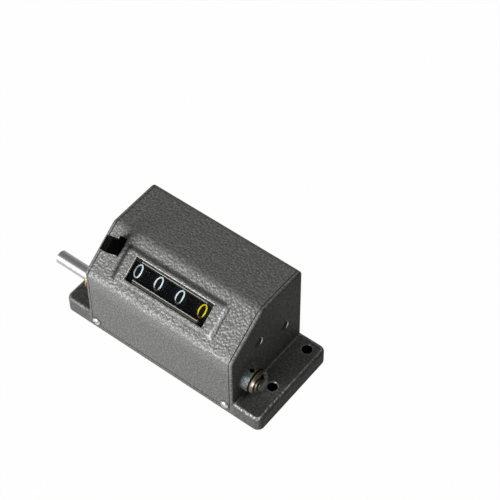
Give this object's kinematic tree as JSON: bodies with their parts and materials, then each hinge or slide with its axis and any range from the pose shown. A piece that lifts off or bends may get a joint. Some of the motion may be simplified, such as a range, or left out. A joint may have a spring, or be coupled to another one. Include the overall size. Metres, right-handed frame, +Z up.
{
  "type": "mechanical revolution counter",
  "caption": "Foot-mounted mechanical revolution counter: cast base with end cheeks, folded hammertone cover, raised window pad over number wheels, side drive shaft and push reset key.",
  "frame": {"origin": "middle of the four mounting holes, on the underside of the base", "axes": "+X along the drive shaft towards its short end, +Y to the back, +Z up"},
  "size_m": [0.1342, 0.057, 0.0647],
  "materials": {
    "cast_paint": "grey hammertone over a die casting",
    "cover_paint": "grey hammertone on sheet steel",
    "bright_steel": "turned and polished",
    "screw_zinc": "bright zinc",
    "bronze": "turned bearing bronze",
    "gear_brass": "hobbed brass",
    "wheel_black": "moulded black, printed figures",
    "key_black": "moulded black",
    "pinion_white": "moulded natural acetal",
    "rail_metal": "satin strip",
    "clear_pane": "clear acrylic",
    "inner_steel": "plated steel"
  },
  "bodies": {
    "frame": {"base_frame": "cast_paint", "cover": "cover_paint", "cover_screws": "screw_zinc", "window_pane": "clear_pane", "window_rails": "rail_metal", "wheel_axle": "bright_steel", "axle_collar": "inner_steel", "axle_spacer": "inner_steel", "reset_shaft": "bright_steel", "reset_spacers": "inner_steel", "bush_left": "bronze", "bush_right": "bronze", "oil_eyelets": "gear_brass", "key_guide": "inner_steel", "return_spring": "inner_steel"},
    "drive": {"drive_shaft": "bright_steel", "drive_gear": "gear_brass", "gear_pin": "inner_steel", "drive_spacer": "inner_steel", "thrust_washer": "bright_steel", "retaining_ring": "inner_steel"},
    "rocker": {"reset_rocker": "inner_steel", "reset_hammers": "inner_steel", "pinion_shaft": "bright_steel"},
    "key": {"reset_key": "key_black", "key_stem": "inner_steel"},
    "wheel_hundreds": {"number_wheel_hundreds": "wheel_black", "heart_cam_hundreds": "wheel_black"},
    "wheel_tens": {"number_wheel_tens": "wheel_black", "heart_cam_tens": "wheel_black", "carry_disc_tens": "wheel_black"},
    "wheel_units": {"number_wheel_units": "wheel_black", "heart_cam_units": "wheel_black", "carry_disc_units": "wheel_black"},
    "wheel_tenths": {"number_wheel_tenths": "wheel_black", "heart_cam_tenths": "wheel_black", "carry_disc_tenths": "wheel_black", "wheel_gear": "gear_brass", "clutch_washer": "gear_brass"},
    "pinion_hundreds": {"carry_pinion_hundreds": "pinion_white"},
    "pinion_tens": {"carry_pinion_tens": "pinion_white"},
    "pinion_units": {"carry_pinion_units": "pinion_white"}
  },
  "joints": [
    {"name": "drive_spin", "type": "hinge", "parent": "frame", "child": "drive", "pos_m": [0, -0.02219, 0.0207], "axis": [1, 0, 0], "continuous": true},
    {"name": "key_press", "type": "slide", "parent": "frame", "child": "key", "axis": [0, 0.5956, -0.8033], "range_m": [0, 0.007], "stiffness_N_per_m": 600, "springref_m": -0.002},
    {"name": "rocker_swing", "type": "hinge", "parent": "frame", "child": "rocker", "pos_m": [0, 0.007, 0.028], "axis": [-1, 0, 0], "range_deg": [0, 11], "deforming": ["return_spring"]},
    {"name": "wheel_tenths_spin", "type": "hinge", "parent": "frame", "child": "wheel_tenths", "pos_m": [0, -0.01318, 0.03677], "axis": [1, 0, 0], "continuous": true},
    {"name": "wheel_units_spin", "type": "hinge", "parent": "frame", "child": "wheel_units", "pos_m": [0, -0.01318, 0.03677], "axis": [1, 0, 0], "continuous": true},
    {"name": "wheel_tens_spin", "type": "hinge", "parent": "frame", "child": "wheel_tens", "pos_m": [0, -0.01318, 0.03677], "axis": [1, 0, 0], "continuous": true},
    {"name": "wheel_hundreds_spin", "type": "hinge", "parent": "frame", "child": "wheel_hundreds", "pos_m": [0, -0.01318, 0.03677], "axis": [1, 0, 0], "continuous": true},
    {"name": "pinion_units_spin", "type": "hinge", "parent": "rocker", "child": "pinion_units", "pos_m": [0, -0.00071, 0.04312], "axis": [1, 0, 0], "continuous": true},
    {"name": "pinion_tens_spin", "type": "hinge", "parent": "rocker", "child": "pinion_tens", "pos_m": [0, -0.00071, 0.04312], "axis": [1, 0, 0], "continuous": true},
    {"name": "pinion_hundreds_spin", "type": "hinge", "parent": "rocker", "child": "pinion_hundreds", "pos_m": [0, -0.00071, 0.04312], "axis": [1, 0, 0], "continuous": true}
  ],
  "couplings": [
    {"joint": "rocker_swing", "follows": "key_press", "rad_per_m": 27.427},
    {"joint": "wheel_tenths_spin", "follows": "drive_spin", "ratio": -1},
    {"joint": "wheel_units_spin", "follows": "drive_spin", "ratio": -0.1},
    {"joint": "wheel_tens_spin", "follows": "drive_spin", "ratio": -0.01},
    {"joint": "wheel_hundreds_spin", "follows": "drive_spin", "ratio": -0.001},
    {"joint": "pinion_units_spin", "follows": "drive_spin", "ratio": 0.25},
    {"joint": "pinion_tens_spin", "follows": "drive_spin", "ratio": 0.025},
    {"joint": "pinion_hundreds_spin", "follows": "drive_spin", "ratio": 0.0025}
  ]
}
